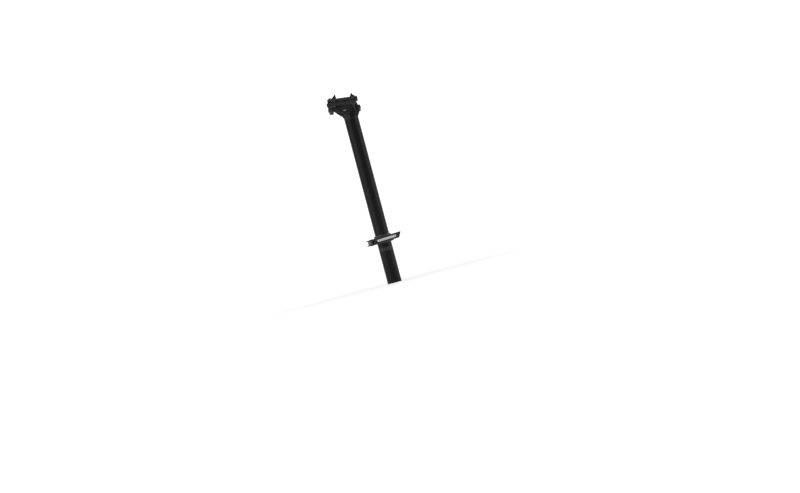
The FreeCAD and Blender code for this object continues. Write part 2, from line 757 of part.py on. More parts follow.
def cut_cradle(body, s, at):
    plate_mid = -(s["cradle_plate_top"] + s["cradle_plate_depth"]) / 2
    through = s["cradle_plate_depth"] * 6
    relief = new_sketch(body, "relief_outline", "XY_Plane",
                        (0, 0, -s["cradle_plate_depth"] + s["relief_depth"]))
    wide = s["relief_width"] / 2
    draw_outline(relief, [(-s["cradle_rear"] - 1, -wide), (-s["relief_from"], -wide),
                          (-s["relief_from"], wide), (-s["cradle_rear"] - 1, wide)])
    add_cut(body, "boss_relief", relief, s["cradle_plate_depth"])
    rear = new_sketch(body, "rear_slot_outline", "XY_Plane", (0, 0, plate_mid))
    half_width = s["slot_width"] / 2
    draw_slot(rear, -s["rear_nut_reach"] - 0.1, 0, s["slot_reach"] - half_width, half_width)
    add_cut(body, "rear_slot", rear, through, symmetric=True)
    front = new_sketch(body, "fork_outline", "XY_Plane", (0, 0, plate_mid))
    inner = s["front_nut_reach"] - s["slot_width"] / 4 + 0.9
    end = s["cradle_front"] + 1
    draw_outline(front, [(inner, -half_width), (end, -half_width), (end, half_width),
                         (inner, half_width)], {3: (inner, None, 1)})
    add_cut(body, "fork", front, through, symmetric=True)


def make_upper_clamp(document, s, at):
    body = new_body(document, "upper_clamp")
    length = s["upper_rear"] + s["upper_front"]
    parting = s["jaw_gap"] / 2
    sketch = new_sketch(body, "clamp_section", "YZ_Plane", (0, 0, -s["upper_rear"]))
    half = [
        (at.jaw_inside, -s["bridge_foot"]),
        (at.jaw_inside, parting),
        (at.jaw_outside, parting),
        (at.jaw_outside, s["upper_jaw_height"] - s["jaw_chamfer"]),
        (at.jaw_outside - s["jaw_chamfer"], s["upper_jaw_height"]),
        (at.jaw_inside, s["upper_jaw_height"]),
        (at.jaw_inside - 1.5, s["bridge_height"]),
    ]
    mirrored = [(-y, z) for y, z in reversed(half)]
    draw_outline(sketch, half + mirrored)
    add_pad(body, "section", sketch, length)
    make_horns(body, s)
    document.recompute()
    jaw_grooves(body, s, at, -s["upper_rear"], length)
    cut_upper_clamp(body, s, at)
    document.recompute()
    place_body(body, (0, 0, s["post_length"]), s["rail_angle"])
    return body


def make_horns(body, s):
    # Pointed cross ribs behind each cross nut.
    foot = s["bridge_height"] - 1.0
    half = s["horn_base"] / 2
    tip = s["horn_tip"] / 2
    for name, place, lean, height in (
            ("front", s["front_horn_place"], 0.6, s["front_horn_height"]),
            ("rear", -s["rear_horn_place"], 1.4, s["rear_horn_height"])):
        sketch = new_sketch(body, name + "_horn_profile", "XZ_Plane")
        draw_outline(sketch, [(place - half, foot), (place + half, foot),
                              (place + lean + tip, height), (place + lean - tip, height)])
        add_pad(body, name + "_horn", sketch, s["horn_width"], symmetric=True)


def cut_upper_clamp(body, s, at):
    trough_radius = s["cross_nut_radius"] + s["running_gap"]
    trough_length = s["cross_nut_length"] + 0.6
    above = s["front_horn_height"] * 2
    for name, x in (("rear", -s["rear_nut_reach"]), ("front", s["front_nut_reach"])):
        trough = new_sketch(body, name + "_trough_profile", "XZ_Plane")
        top = s["nut_height"]
        draw_outline(trough, [(x - trough_radius, top), (x + trough_radius, top),
                              (x + trough_radius, above), (x - trough_radius, above)],
                     {0: (None, top, 1)})
        add_cut(body, name + "_trough", trough, trough_length, symmetric=True)
    half_width = s["slot_width"] / 2
    through = s["bridge_height"] * 4
    for name, x, reach in (("rear", -s["rear_nut_reach"], s["slot_reach"]),
                           ("front", s["front_nut_reach"] + 0.9, s["front_slot_reach"])):
        slot = new_sketch(body, name + "_slot_outline", "XY_Plane")
        draw_slot(slot, x, 0, reach - half_width, half_width)
        add_cut(body, name + "_slot", slot, through, symmetric=True)
    pocket = new_sketch(body, "top_pocket_outline", "XY_Plane", (0, 0, s["bridge_height"]))
    near = s["front_horn_place"] - s["horn_base"] / 2 - 2.0
    far = -s["rear_horn_place"] + s["horn_base"] / 2 + 2.0
    wide = s["horn_width"] / 2 - 3.0
    draw_outline(pocket, [(far, -wide), (near, -wide), (near, wide), (far, wide)])
    add_cut(body, "top_pocket", pocket, s["top_pocket_depth"])


# Bolts, cross nuts and washers

def make_clamp_bolt(document, s, label, place, lean):
    body = new_body(document, label)
    head_top = -s["flat_washer_thickness"] - s["turning_gap"]
    head_foot = head_top - s["bolt_head_height"]
    tip = head_top + s["bolt_length"]
    neck = head_top + s["shank_length"]
    chamfer = s["small_chamfer"]
    sketch = new_sketch(body, label + "_profile", "XZ_Plane")
    draw_outline(sketch, [
        (0, head_foot),
        (s["bolt_head_radius"] - chamfer, head_foot),
        (s["bolt_head_radius"], head_foot + chamfer),
        (s["bolt_head_radius"], head_top),
        (s["bolt_radius"], head_top),
        (s["bolt_radius"], neck),
        (s["thread_radius"], neck + chamfer),
        (s["thread_radius"], tip - chamfer),
        (s["thread_radius"] - chamfer, tip),
        (0, tip),
    ])
    add_turned(body, label + "_turned", sketch)
    document.recompute()
    socket = new_sketch(body, label + "_socket", "XY_Plane", (0, 0, head_foot))
    apothem = s["hex_across"] / 2
    corner = apothem / cosine(30)
    corners = [(corner * cosine(60 * turn), corner * sine(60 * turn)) for turn in range(6)]
    draw_outline(socket, corners)
    add_cut(body, label + "_hex", socket, s["hex_depth"], reverse=True)
    place_body(body, (place[0], 0, place[1]), lean)
    return body


def make_cross_nut(document, s, label, place, lean):
    body = new_body(document, label)
    half = s["cross_nut_length"] / 2
    chamfer = s["small_chamfer"]
    radius = s["cross_nut_radius"]
    sketch = new_sketch(body, label + "_circle", "XZ_Plane")
    draw_circle(sketch, 0, 0, radius)
    drum = add_pad(body, label + "_drum", sketch, half * 2, symmetric=True)
    add_edge_work(body, label + "_edges", "Chamfer", drum, chamfer,
                  lambda edge: edge.Curve.TypeId == "Part::GeomCircle")
    document.recompute()
    bore = new_sketch(body, label + "_bore_circle", "XY_Plane")
    draw_circle(bore, 0, 0, s["cross_nut_bore"])
    add_cut(body, label + "_bore", bore, radius * 4, symmetric=True)
    place_body(body, (place[0], 0, place[1]), lean)
    return body


def make_seat_washer(document, s, label, place, lean):
    # Half-round washer that rocks in the boss as the clamp is tilted.
    body = new_body(document, label)
    radius = s["seat_washer_radius"]
    sketch = new_sketch(body, label + "_profile", "XZ_Plane")
    draw_outline(sketch, [(-radius, 0), (radius, 0)], {1: (None, 0, 1)})
    add_pad(body, label + "_half_round", sketch, s["seat_washer_length"], symmetric=True)
    document.recompute()
    bore = new_sketch(body, label + "_bore_circle", "XY_Plane")
    draw_circle(bore, 0, 0, s["bolt_radius"] + s["running_gap"])
    add_cut(body, label + "_bore", bore, radius * 4, symmetric=True)
    place_body(body, (place[0], 0, place[1]), lean)
    return body


def make_flat_washer(document, s, label, place, lean):
    body = new_body(document, label)
    sketch = new_sketch(body, label + "_circles", "XY_Plane")
    draw_circle(sketch, 0, 0, s["flat_washer_radius"])
    draw_circle(sketch, 0, 0, s["bolt_radius"] + s["running_gap"])
    add_pad(body, label + "_ring", sketch, s["flat_washer_thickness"], reverse=True)
    place_body(body, (place[0], 0, place[1]), lean)
    return body


# Quick-release collar

def make_collar_band(document, s, at):
    body = new_body(document, "collar_band")
    outside = s["collar_bore_radius"] + s["collar_wall"]
    foot = s["collar_bottom"]
    shoulder = foot + s["collar_shoulder"]
    lip_radius = at.post_radius + s["lip_clearance"]
    profile = new_sketch(body, "band_profile", "XZ_Plane")
    chamfer = s["small_chamfer"] * 2
    draw_outline(profile, [
        (s["collar_bore_radius"], foot),
        (outside - chamfer, foot),
        (outside, foot + chamfer),
        (outside, shoulder - chamfer),
        (outside - chamfer, shoulder),
        (s["collar_neck_radius"], shoulder + chamfer),
        (s["collar_neck_radius"], at.collar_top - chamfer),
        (s["collar_neck_radius"] - chamfer, at.collar_top),
        (lip_radius, at.collar_top),
        (lip_radius, at.collar_top - s["collar_lip"]),
        (s["collar_bore_radius"], at.collar_top - s["collar_lip"]),
    ])
    add_turned(body, "band", profile)
    ears = new_sketch(body, "ear_profile", "XZ_Plane")
    ear_foot = foot
    ear_top = at.rod_height * 2 - foot
    root_x = -s["collar_bore_radius"] - s["small_chamfer"]
    middle = at.rod_height
    end = foot - middle - at.rod_reach
    draw_outline(ears, [
        (end, middle),
        (-at.rod_reach, ear_foot),
        (root_x, ear_foot),
        (root_x, ear_top),
        (-at.rod_reach, ear_top),
    ], {0: (-at.rod_reach, None, 1), 4: (-at.rod_reach, None, 1)})
    add_pad(body, "ears", ears, s["ear_face"] * 2, symmetric=True)
    document.recompute()
    slit = new_sketch(body, "slit_outline", "XY_Plane", (0, 0, foot - 1))
    half = s["collar_slit"] / 2
    draw_outline(slit, [(end - 2, -half), (-lip_radius + 3, -half),
                        (-lip_radius + 3, half), (end - 2, half)])
    add_cut(body, "slit", slit, s["collar_height"] + 2, reverse=True)
    hole = new_sketch(body, "rod_hole_circle", "XZ_Plane")
    draw_circle(hole, -at.rod_reach, at.rod_height, s["rod_radius"] + s["running_gap"])
    add_cut(body, "rod_hole", hole, s["ear_face"] * 4, symmetric=True)
    return body


def make_side_piece(document, s, label, at, radius, bore, near, far):
    # A round piece on the rod's axis, from y = near to y = far, near below far.
    body = new_body(document, label)
    sketch = new_sketch(body, label + "_circles", "XZ_Plane", (0, 0, -far))
    draw_circle(sketch, -at.rod_reach, at.rod_height, radius)
    if bore is not None:
        draw_circle(sketch, -at.rod_reach, at.rod_height, bore)
    add_pad(body, label + "_ring", sketch, far - near)
    return body


def make_qr_rod(document, s, at):
    body = new_body(document, "release_rod")
    near = s["barrel_skin"] - at.cam_axis - s["barrel_radius"]
    sketch = new_sketch(body, "rod_circle", "XZ_Plane", (0, 0, -s["rod_far_end"]))
    draw_circle(sketch, -at.rod_reach, at.rod_height, s["rod_radius"])
    rod = add_pad(body, "rod", sketch, s["rod_far_end"] - near)
    add_edge_work(body, "rod_ends", "Chamfer", rod, s["small_chamfer"],
                  lambda edge: edge.Curve.TypeId == "Part::GeomCircle")
    return body


def make_lever_barrel(document, s, at):
    # Cross barrel that the rod screws into and the lever turns on.
    body = new_body(document, "lever_barrel")
    sketch = new_sketch(body, "barrel_circle", "XY_Plane", (0, 0, s["lever_foot"]))
    draw_circle(sketch, -at.rod_reach, -at.cam_axis, s["barrel_radius"])
    add_pad(body, "barrel", sketch, s["lever_height"])
    document.recompute()
    hole = new_sketch(body, "barrel_hole_circle", "XZ_Plane")
    draw_circle(hole, -at.rod_reach, at.rod_height, s["rod_radius"] + s["turning_gap"])
    depth = at.cam_axis + s["barrel_radius"] - s["barrel_skin"]
    add_cut(body, "barrel_hole", hole, depth, reverse=True)
    return body


def make_release_lever(document, s, at):
    body = new_body(document, "release_lever")
    cam_x = -at.rod_reach
    cam_y = -at.cam_axis
    outer = -at.lever_face
    inner = outer + s["lever_thickness"]
    arm_top = s["lever_height"] + s["lever_rise"]
    plan = new_sketch(body, "arm_plan", "XY_Plane", (0, 0, s["lever_foot"]))
    root_radius = s["lever_root_radius"]
    face_reach = s["lever_face_reach"]
    flat_from = root(root_radius * root_radius - face_reach * face_reach)
    draw_outline(plan, [
        (cam_x - root_radius, cam_y),
        (cam_x - flat_from, outer),
        (s["lever_tip"] - s["lever_tip_slant"], outer),
        (s["lever_tip"], outer + 0.8),
        (s["lever_tip"], outer + 2.4),
        (s["lever_tip"] - s["lever_tip_slant"] * 2, inner),
        (cam_x + s["cam_radius"], inner),
        (cam_x, cam_y),
    ], {0: (cam_x, None, 1)})
    add_pad(body, "arm", plan, arm_top)
    document.recompute()
    trim_lever_sides(body, s, at)
    cam = new_sketch(body, "cam_circle", "XY_Plane", (0, 0, s["lever_foot"]))
    draw_circle(cam, cam_x, cam_y + s["cam_throw"], s["cam_radius"])
    add_pad(body, "cam", cam, s["lever_height"])
    document.recompute()
    bore = new_sketch(body, "barrel_bore_circle", "XY_Plane", (0, 0, at.rod_height))
    draw_circle(bore, cam_x, cam_y, s["barrel_radius"] + s["running_gap"])
    add_cut(body, "barrel_bore", bore, s["lever_height"] * 2, symmetric=True)
    cut_lever_fork(body, s, at)
    panel = new_sketch(body, "panel_recess_outline", "XZ_Plane", (0, 0, -outer))
    draw_outline(panel, panel_corners(s, at, 0))
    add_cut(body, "panel_recess", panel, s["panel_thickness"])
    return body


def trim_lever_sides(body, s, at):
    # Seen from the side the arm rises to its tip, and the tip is cut on a slant.
    foot = s["lever_foot"]
    top = foot + s["lever_height"]
    rise = s["lever_rise"]
    tip = s["lever_tip"]
    root_x = -s["lever_root"]
    deep = s["collar_height"]
    reach = at.lever_face * 4
    under = new_sketch(body, "arm_underside", "XZ_Plane")
    draw_outline(under, [(root_x, foot), (tip - s["lever_tip_slant"], foot + rise),
                         (tip, top + rise), (tip + deep, top + rise),
                         (tip + deep, foot - deep), (root_x, foot - deep)])
    add_cut(body, "underside", under, reach, symmetric=True)
    over = new_sketch(body, "arm_topside", "XZ_Plane")
    far = -at.rod_reach - deep
    draw_outline(over, [(far, top), (root_x, top), (tip, top + rise), (tip, top + deep),
                        (far, top + deep)])
    add_cut(body, "topside", over, reach, symmetric=True)


def cut_lever_fork(body, s, at):
    # Open on three sides, so that the rod stays clear over the lever's whole swing.
    cam_x = -at.rod_reach
    cam_y = -at.cam_axis
    deep = s["cam_radius"] * 4
    end = cam_x + s["fork_end"]
    sketch = new_sketch(body, "fork_outline", "XY_Plane",
                        (0, 0, at.rod_height - s["fork_gap"] / 2))
    draw_outline(sketch, [(cam_x - deep, cam_y - deep), (end, cam_y - deep),
                          (end, cam_y + deep), (cam_x - deep, cam_y + deep)])
    add_cut(body, "fork", sketch, s["fork_gap"], reverse=True)


def panel_corners(s, at, clearance):
    # A slim panel, both ends cut on a slant.
    low = at.rod_height - s["panel_height"] / 2 + clearance
    high = at.rod_height + s["panel_height"] / 2 - clearance
    slope = s["lever_rise"] / (s["lever_tip"] + s["lever_root"])
    near_rise = slope * (s["lever_root"] - s["panel_from"])
    far_rise = slope * (s["lever_root"] + s["panel_to"])
    slant = s["panel_height"] * 0.3
    return [
        (-s["panel_from"] + slant + clearance, low + near_rise),
        (s["panel_to"] - slant - clearance, low + far_rise),
        (s["panel_to"] - clearance, high + far_rise),
        (-s["panel_from"] + clearance, high + near_rise),
    ]


def make_lever_panel(document, s, at):
    body = new_body(document, "lever_panel")
    inner = at.lever_face - s["panel_thickness"]
    sketch = new_sketch(body, "panel_outline", "XZ_Plane", (0, 0, inner))
    draw_outline(sketch, panel_corners(s, at, 0.1))
    add_pad(body, "panel", sketch, s["panel_thickness"] + s["panel_stand"])
    return body


def make_adjusting_nut(document, s, at):
    body = new_body(document, "adjusting_nut")
    near = s["ear_face"] + s["nut_washer_thickness"] + s["turning_gap"]
    far = near + s["nut_thickness"]
    sketch = new_sketch(body, "nut_circles", "XZ_Plane", (0, 0, -far))
    draw_circle(sketch, -at.rod_reach, at.rod_height, s["nut_radius"])
    draw_circle(sketch, -at.rod_reach, at.rod_height, s["rod_radius"] + s["running_gap"])
    nut = add_pad(body, "nut", sketch, s["nut_thickness"])
    nut_radius = driving_sizes["nut_radius"]
    add_edge_work(body, "nut_edges", "Chamfer", nut, s["small_chamfer"] * 1.5,
                  lambda edge: edge.Curve.TypeId == "Part::GeomCircle"
                  and abs(edge.Curve.Radius - nut_radius) < 1e-3)
    document.recompute()
    recess = new_sketch(body, "insert_recess_circle", "XZ_Plane", (0, 0, -far))
    draw_circle(recess, -at.rod_reach, at.rod_height, s["insert_radius"])
    add_cut(body, "insert_recess", recess, s["insert_thickness"], reverse=True)
    flutes = new_sketch(body, "flute_circles", "XZ_Plane", (0, 0, -far))
    count = int(driving_sizes["nut_flutes"])
    for turn in range(count):
        angle = 360.0 * turn / count
        x = s["nut_radius"] * 1.1 * cosine(angle) - at.rod_reach
        z = s["nut_radius"] * 1.1 * sine(angle) + at.rod_height
        draw_circle(flutes, x, z, s["flute_radius"])
    add_cut(body, "flutes", flutes, s["nut_thickness"] - s["nut_washer_thickness"],
            reverse=True)
    return body


def make_seatpost(document):
    s = make_sheet(document)
    at = Layout(s)
    rod_bore = s["rod_radius"] + s["running_gap"]
    washer_far = s["ear_face"] + s["nut_washer_thickness"]
    nut_far = washer_far + s["turning_gap"] + s["nut_thickness"]
    rear = (at.rear_seat, at.rear_lean)
    front = (at.front_seat, at.front_lean)
    return [
        make_post_tube(document, s, at),
        make_post_head(document, s, at),
        make_lower_cradle(document, s, at),
        make_upper_clamp(document, s, at),
        make_clamp_bolt(document, s, "rear_clamp_bolt", *rear),
        make_clamp_bolt(document, s, "front_clamp_bolt", *front),
        make_cross_nut(document, s, "rear_cross_nut", at.rear_nut, at.rear_lean),
        make_cross_nut(document, s, "front_cross_nut", at.front_nut, at.front_lean),
        make_seat_washer(document, s, "rear_seat_washer", *rear),
        make_seat_washer(document, s, "front_seat_washer", *front),
        make_flat_washer(document, s, "rear_flat_washer", *rear),
        make_flat_washer(document, s, "front_flat_washer", *front),
        make_collar_band(document, s, at),
        make_side_piece(document, s, "cam_bush", at, s["bush_radius"], rod_bore,
                        -at.bush_face, -s["ear_face"]),
        make_side_piece(document, s, "nut_washer", at, s["nut_washer_radius"], rod_bore,
                        s["ear_face"], washer_far),
        make_qr_rod(document, s, at),
        make_lever_barrel(document, s, at),
        make_release_lever(document, s, at),
        make_lever_panel(document, s, at),
        make_adjusting_nut(document, s, at),
        make_side_piece(document, s, "nut_insert", at, s["insert_radius"], rod_bore,
                        nut_far - s["insert_thickness"], nut_far),
    ]


def check_document(document, subparts):
    for item in document.Objects:
        if "Invalid" in item.State or "Error" in item.State:
            raise ValueError("%s is left in state %s" % (item.Name, item.State))
    for subpart in subparts:
        shape = subpart.Shape
        if shape.isNull() or not shape.isValid() or not shape.Solids:
            raise ValueError("%s has no valid solid" % subpart.Label)


def main():
    os.makedirs("parts", exist_ok=True)
    document = FreeCAD.newDocument("seatpost")
    subparts = make_seatpost(document)
    document.recompute()
    check_document(document, subparts)
    for subpart in subparts:
        subpart.Shape.exportStep("parts/%s.step" % subpart.Label)
        print("%-18s %d solid(s), %9.1f mm3" % (
            subpart.Label, len(subpart.Shape.Solids), subpart.Shape.Volume))
    return subparts


main()
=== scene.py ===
import math

import bmesh
import bpy
from mathutils import Matrix, Vector
from mathutils.bvhtree import BVHTree


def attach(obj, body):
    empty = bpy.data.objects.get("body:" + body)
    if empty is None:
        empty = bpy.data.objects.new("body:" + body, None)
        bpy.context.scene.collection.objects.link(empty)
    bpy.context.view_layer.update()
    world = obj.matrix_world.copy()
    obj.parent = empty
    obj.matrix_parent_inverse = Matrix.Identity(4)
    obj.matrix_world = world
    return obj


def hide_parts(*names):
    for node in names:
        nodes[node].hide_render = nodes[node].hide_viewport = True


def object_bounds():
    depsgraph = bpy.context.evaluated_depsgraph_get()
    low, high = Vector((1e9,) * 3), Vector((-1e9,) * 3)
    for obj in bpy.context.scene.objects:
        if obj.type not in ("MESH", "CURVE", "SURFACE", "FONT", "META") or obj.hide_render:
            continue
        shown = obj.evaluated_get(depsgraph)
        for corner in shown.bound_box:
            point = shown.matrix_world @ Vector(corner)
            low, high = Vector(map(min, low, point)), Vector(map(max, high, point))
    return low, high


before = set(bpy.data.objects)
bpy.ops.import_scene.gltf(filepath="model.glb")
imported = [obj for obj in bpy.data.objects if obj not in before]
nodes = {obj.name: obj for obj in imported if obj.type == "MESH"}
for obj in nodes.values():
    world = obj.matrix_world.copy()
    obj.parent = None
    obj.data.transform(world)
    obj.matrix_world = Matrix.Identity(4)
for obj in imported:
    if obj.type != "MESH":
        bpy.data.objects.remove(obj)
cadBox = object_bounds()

# Pieces are measured in millimetres and degrees, the studio in metres and degrees.
mm = 0.001


# Finishes

patterns = {
    "cloudDetail": 2.0,
    "grainDetail": 3.0,
    "roughness": 0.55,
    "speckRange": (0.45, 0.75),  # specks come up between these values of the grain
    "speckShare": 0.6,
    "leastRub": 0.2,  # even where the clouding is darkest, an edge shows this much rub
}
# In a look, cloud and grain are the widths of the two patterns, spread and speck say how much
# lighter they make the colour, and rough is the least and the greatest roughness. These values
# stand where a look names nothing else.
plainLook = {
    "gloss": 0.5,
    "speck": 1.25,
    "strength": 0.6,
    "stretch": (1, 1, 1),
    "rings": False,
    "centre": (0, 0, 0),
    "turned": (0, 0, 0),
}


def addNode(tree, kind, **values):
    node = tree.nodes.new(kind)
    for socket, value in values.items():
        node.inputs[socket].default_value = value
    return node


def objectPattern(tree, look):
    # Object coordinates, moved and turned so that the pattern lies along the piece.
    place = tree.nodes.new("ShaderNodeTexCoord")
    turn = tree.nodes.new("ShaderNodeMapping")
    turn.vector_type = "TEXTURE"
    turn.inputs["Location"].default_value = [part * mm for part in look["centre"]]
    turn.inputs["Rotation"].default_value = [math.radians(part) for part in look["turned"]]
    tree.links.new(place.outputs["Object"], turn.inputs["Vector"])
    if not look["rings"]:
        return turn.outputs["Vector"]
    # Distance from the axis and height along it: whatever varies with them runs round the piece.
    parts = tree.nodes.new("ShaderNodeSeparateXYZ")
    flat = tree.nodes.new("ShaderNodeCombineXYZ")
    reach = tree.nodes.new("ShaderNodeVectorMath")
    reach.operation = "LENGTH"
    joined = tree.nodes.new("ShaderNodeCombineXYZ")
    tree.links.new(turn.outputs["Vector"], parts.inputs["Vector"])
    tree.links.new(parts.outputs["X"], flat.inputs["X"])
    tree.links.new(parts.outputs["Y"], flat.inputs["Y"])
    tree.links.new(flat.outputs["Vector"], reach.inputs[0])
    tree.links.new(reach.outputs["Value"], joined.inputs["X"])
    tree.links.new(parts.outputs["Z"], joined.inputs["Z"])
    return joined.outputs["Vector"]


def noiseOn(tree, vector, size, detail, stretch=(1, 1, 1)):
    # size is the width of the pattern's spots in metres.
    scaled = tree.nodes.new("ShaderNodeMapping")
    scaled.inputs["Scale"].default_value = [1 / size * factor for factor in stretch]
    tree.links.new(vector, scaled.inputs["Vector"])
    noise = addNode(tree, "ShaderNodeTexNoise", Scale=1.0, Detail=detail,
                    Roughness=patterns["roughness"])
    tree.links.new(scaled.outputs["Vector"], noise.inputs["Vector"])
    return noise.outputs["Fac"]


def rangeOf(tree, value, low, high, fromLow=0.3, fromHigh=0.7):
    # Most of a noise pattern lies between 0.3 and 0.7.
    change = tree.nodes.new("ShaderNodeMapRange")
    change.inputs["From Min"].default_value = fromLow
    change.inputs["From Max"].default_value = fromHigh
    change.inputs["To Min"].default_value = low
    change.inputs["To Max"].default_value = high
    tree.links.new(value, change.inputs["Value"])
    return change.outputs["Result"]


def blendColours(tree, amount, first, second):
    mix = tree.nodes.new("ShaderNodeMix")
    mix.data_type = "RGBA"
    tree.links.new(amount, mix.inputs["Factor"])
    for socket, colour in ((mix.inputs["A"], first), (mix.inputs["B"], second)):
        if isinstance(colour, tuple):
            socket.default_value = (*colour, 1)
        else:
            tree.links.new(colour, socket)
    return mix.outputs["Result"]


def makeFinish(name, look):
    look = {**plainLook, **look}
    finish = bpy.data.materials.new(name)
    finish.use_nodes = True
    tree = finish.node_tree
    shader = tree.nodes["Principled BSDF"]
    shader.inputs["Metallic"].default_value = look["metal"]
    shader.inputs["Specular IOR Level"].default_value = look["gloss"]
    vector = objectPattern(tree, look)

    # Broad clouding of the colour, then the fine grain in it.
    cloud = noiseOn(tree, vector, look["cloud"] * mm, patterns["cloudDetail"])
    base = look["colour"]
    light = tuple(min(1.0, part * look["spread"]) for part in base)
    colour = blendColours(tree, rangeOf(tree, cloud, 0.0, 1.0), base, light)
    grain = noiseOn(tree, vector, look["grain"] * mm, patterns["grainDetail"], look["stretch"])
    speck = tuple(min(1.0, part * look["speck"]) for part in base)
    specks = rangeOf(tree, grain, 0.0, patterns["speckShare"], *patterns["speckRange"])
    colour = blendColours(tree, specks, colour, speck)
    if "edge" in look:
        worn = tree.nodes.new("ShaderNodeAttribute")
        worn.attribute_name = "edgeRub"
        rubbed = tree.nodes.new("ShaderNodeMath")
        rubbed.operation = "MULTIPLY"
        tree.links.new(worn.outputs["Fac"], rubbed.inputs[0])
        tree.links.new(rangeOf(tree, cloud, patterns["leastRub"], 1.0), rubbed.inputs[1])
        colour = blendColours(tree, rubbed.outputs["Value"], colour, look["edge"])
    tree.links.new(colour, shader.inputs["Base Color"])

    low, high = look["rough"]
    tree.links.new(rangeOf(tree, grain, low, high), shader.inputs["Roughness"])
    bump = addNode(tree, "ShaderNodeBump", Strength=look["strength"],
                   Distance=look["depth"] * mm)
    tree.links.new(grain, bump.inputs["Height"])
    tree.links.new(bump.outputs["Normal"], shader.inputs["Normal"])
    return finish


# What all pieces share

joining = {
    "near": 0.003,  # points closer than this are one
    "spunNear": 0.001,
    "flat": 0.3,  # faces that lean apart by less than this are one
}
softening = {
    "angle": 36,  # edges sharper than this are softened
    "tiny": 0.12,  # shorter edges are closed up first
    "farShare": 0.55,  # share of the width by which a point may leave the old surface
    "out": 0.02,  # how far it may stand proud of it
}
# Foot, crest, crest and foot of a thread's ridge, as shares of its pitch
threadRidge = (0.0, 0.42, 0.5, 0.92)


def copyNode(node):
    # The CAD node's loose triangles, joined, without the lines that cross its flat faces.
    work = bmesh.new()
    work.from_mesh(nodes[node].data)
    bmesh.ops.remove_doubles(work, verts=work.verts, dist=joining["near"] * mm)
    bmesh.ops.dissolve_limit(work, angle_limit=math.radians(joining["flat"]), verts=work.verts,
                             edges=work.edges, use_dissolve_boundaries=False)
    return work


def softenEdges(work, width, segments=2, above=-1.0):
    # above leaves out the edges at or under that height, where a piece stands on its neighbour.
    bmesh.ops.dissolve_degenerate(work, dist=softening["tiny"] * mm, edges=work.edges)
    angle = math.radians(softening["angle"])
    sharp = [edge for edge in work.edges
             if len(edge.link_faces) == 2 and edge.calc_face_angle(0) > angle
             and max(vert.co.z for vert in edge.verts) > above * mm]
    skin = BVHTree.FromBMesh(work)
    made = bmesh.ops.bevel(work, geom=sharp, offset=width * mm, offset_type="OFFSET",
                           affect="EDGES", segments=segments, profile=0.5, material=-1,
                           clamp_overlap=False, loop_slide=True)
    # Where two bevels cross at a corner, a point can shoot out: it goes back to the old surface.
    far, out = width * softening["farShare"] * mm, softening["out"] * mm
    for vert in work.verts:
        place, normal, index, away = skin.find_nearest(vert.co)
        if away > far or (vert.co - place).dot(normal) > out:
            vert.co = place
    return made["faces"]


def markRub(work, faces):
    # 1 on the softened edges and 0 elsewhere, for the thin places in the black.
    layer = work.verts.layers.float.new("edgeRub")
    for face in faces:
        if face.is_valid:
            for vert in face.verts:
                vert[layer] = 1.0


def keepPiece(name, work, body, finish, stands=(), smooth=40):
    mesh = bpy.data.meshes.new(name)
    work.to_mesh(mesh)
    work.free()
    mesh.shade_smooth()
    mesh.set_sharp_from_angle(angle=math.radians(smooth))
    mesh.materials.append(finish)
    piece = bpy.data.objects.new(name, mesh)
    bpy.context.scene.collection.objects.link(piece)
    even = piece.modifiers.new("evenShading", "WEIGHTED_NORMAL")
    even.keep_sharp = True
    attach(piece, body)
    if stands:
        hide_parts(*stands)


def spinProfile(work, corners, centre, axis, steps):
    # corners are (distance from the axis, place along it) in millimetres, and close on themselves.
    axis = Vector(axis).normalized()
    side = axis.orthogonal().normalized()
    centre = Vector(centre) * mm
    verts = [work.verts.new(centre + side * out * mm + axis * along * mm)
             for out, along in corners]
    edges = [work.edges.new((verts[i], verts[(i + 1) % len(verts)])) for i in range(len(verts))]
    bmesh.ops.spin(work, geom=verts + edges, cent=centre, axis=axis, dvec=(0, 0, 0),
                   angle=math.tau, steps=steps, use_merge=True, use_duplicate=False)
    bmesh.ops.remove_doubles(work, verts=work.verts, dist=joining["spunNear"] * mm)
    bmesh.ops.recalc_face_normals(work, faces=work.faces)


def cutThread(work, centre, axis, thread):
    # A ridge with sloping flanks wound round the core, closed at both ends.
    axis = Vector(axis).normalized()
    side = axis.orthogonal().normalized()
    start = Vector(centre) * mm + axis * thread["from"] * mm
    pitch = thread["pitch"] * mm
    turns = (thread["to"] - thread["from"]) / thread["pitch"] - 1
    steps = int(turns * thread["stepsPerTurn"])
    outs = (thread["core"], thread["crest"], thread["crest"], thread["core"])
    verts = [work.verts.new(start + side * out * mm + axis * pitch * along)
             for out, along in zip(outs, threadRidge)]
    edges = [work.edges.new((verts[i], verts[(i + 1) % len(verts)])) for i in range(len(verts))]
    bmesh.ops.spin(work, geom=verts + edges, cent=start, axis=axis,
                   dvec=axis * pitch * turns / steps, angle=math.tau * turns, steps=steps,
                   use_duplicate=False)
    ends = [edge for edge in work.edges if edge.is_boundary]
    bmesh.ops.holes_fill(work, edges=ends, sides=len(verts))
    bmesh.ops.recalc_face_normals(work, faces=work.faces)


# Post tube: drawn aluminium, black anodised, with a ring and short lines for the least depth

